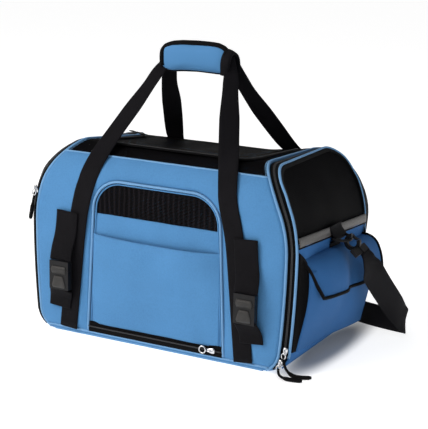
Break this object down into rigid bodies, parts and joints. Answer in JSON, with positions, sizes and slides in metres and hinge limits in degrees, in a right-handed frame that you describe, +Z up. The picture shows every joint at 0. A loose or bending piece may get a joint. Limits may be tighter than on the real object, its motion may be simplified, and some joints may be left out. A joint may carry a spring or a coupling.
{
  "type": "pet carrier bag",
  "caption": "Soft-sided pet carrier bag with mesh windows, zipped end doors, joined top handles, front slip pocket, end pockets and a shoulder strap.",
  "frame": {"origin": "centre of the underside of the bag's body, on the surface it stands on", "axes": "+X along the bag to its right end door with the cargo pocket, +Y to its back, +Z up"},
  "size_m": [0.6061, 0.3523, 0.45],
  "materials": {
    "blue_fabric": "woven polyester, matt",
    "blue_piping": "satin woven piping",
    "black_mesh": "open knitted mesh",
    "zip_tape": "woven zip tape",
    "black_webbing": "ribbed webbing, slight sheen",
    "black_plastic": "moulded, semi-matt",
    "black_cord": "braided cord with moulded ends",
    "zip_metal": "nickel plated",
    "grey_reflective": "retroreflective tape, satin",
    "fleece": "short fleece",
    "board": "stiff fibreboard in cloth"
  },
  "bodies": {
    "bag": {"base_panel": "blue_fabric", "base_board": "board", "pet_mat": "fleece", "front_panel": "blue_fabric", "front_window_mesh": "black_mesh", "front_lower_panel": "blue_fabric", "arch_piping": "blue_piping", "sleeve_panel": "blue_fabric", "sleeve_zip_tape": "zip_tape", "back_panel": "blue_fabric", "top_mesh": "black_mesh", "top_pipings": "blue_piping", "bottom_pipings": "blue_piping", "right_shell_piping": "blue_piping", "left_shell_piping": "blue_piping", "right_zip_tape": "zip_tape", "left_zip_tape": "zip_tape", "front_handle_webbing": "black_webbing", "back_handle_webbing": "black_webbing", "handle_grip": "blue_fabric", "right_belt_strap_upper": "black_webbing", "left_belt_strap_upper": "black_webbing", "right_belt_strap_lower": "black_webbing", "left_belt_strap_lower": "black_webbing", "right_buckle_socket": "black_plastic", "left_buckle_socket": "black_plastic", "end_zip_sliders": "zip_metal", "top_zip_tape": "zip_tape", "strap_right_run": "black_webbing", "strap_floor_run": "black_webbing", "strap_adjuster": "black_plastic", "strap_left_run": "black_webbing", "zip_pulls": "black_cord"},
    "right_door": {"right_door_zip_tape": "zip_tape", "right_door_piping": "blue_piping", "right_door_panel": "blue_fabric", "right_door_mesh": "black_mesh", "right_reflective_strip": "grey_reflective", "right_ring_tab": "black_webbing", "right_d_ring": "black_plastic", "right_snap_hook": "black_plastic", "right_cargo_pocket": "blue_fabric", "cargo_flap": "blue_fabric"},
    "left_door": {"left_door_zip_tape": "zip_tape", "left_door_piping": "blue_piping", "left_door_panel": "blue_fabric", "left_door_mesh": "black_mesh", "left_reflective_strip": "grey_reflective", "left_ring_tab": "black_webbing", "left_d_ring": "black_plastic", "left_snap_hook": "black_plastic", "left_net_pocket": "black_mesh"},
    "right_gate": {"right_hook_gate": "black_plastic"},
    "left_gate": {"left_hook_gate": "black_plastic"},
    "right_buckle": {"right_buckle_prongs": "black_plastic"},
    "left_buckle": {"left_buckle_prongs": "black_plastic"},
    "sleeve_slider": {"sleeve_zip_slider": "zip_metal", "sleeve_zip_ring": "zip_metal"},
    "top_slider": {"top_zip_slider": "zip_metal"}
  },
  "joints": [
    {"name": "right_door_hinge", "type": "hinge", "parent": "bag", "child": "right_door", "pos_m": [0.214, 0, 0.006], "axis": [0, 1, 0], "range_deg": [0, 60], "deforming": ["strap_right_run"]},
    {"name": "left_door_hinge", "type": "hinge", "parent": "bag", "child": "left_door", "pos_m": [-0.214, 0, 0.006], "axis": [0, -1, 0], "range_deg": [0, 66], "deforming": ["strap_left_run"]},
    {"name": "right_buckle_release", "type": "slide", "parent": "bag", "child": "right_buckle", "axis": [0, 0, 1], "range_m": [0, 0.028], "deforming": ["right_belt_strap_upper"]},
    {"name": "left_buckle_release", "type": "slide", "parent": "bag", "child": "left_buckle", "axis": [0, 0, 1], "range_m": [0, 0.028], "deforming": ["left_belt_strap_upper"]},
    {"name": "sleeve_zip_slide", "type": "slide", "parent": "bag", "child": "sleeve_slider", "axis": [-1, 0, 0], "range_m": [0, 0.18]},
    {"name": "top_zip_slide", "type": "slide", "parent": "bag", "child": "top_slider", "axis": [0, -0.9923, 0.124], "range_m": [0, 0.11]},
    {"name": "right_hook_gate_turn", "type": "hinge", "parent": "right_door", "child": "right_gate", "pos_m": [0.26801, 0, 0.18043], "axis": [0, -1, 0], "range_deg": [0, 14], "stiffness_Nm_per_rad": 0.01, "springref_deg": -20.05},
    {"name": "left_hook_gate_turn", "type": "hinge", "parent": "left_door", "child": "left_gate", "pos_m": [-0.26801, 0, 0.18043], "axis": [0, 1, 0], "range_deg": [0, 14], "stiffness_Nm_per_rad": 0.01, "springref_deg": -20.05}
  ]
}
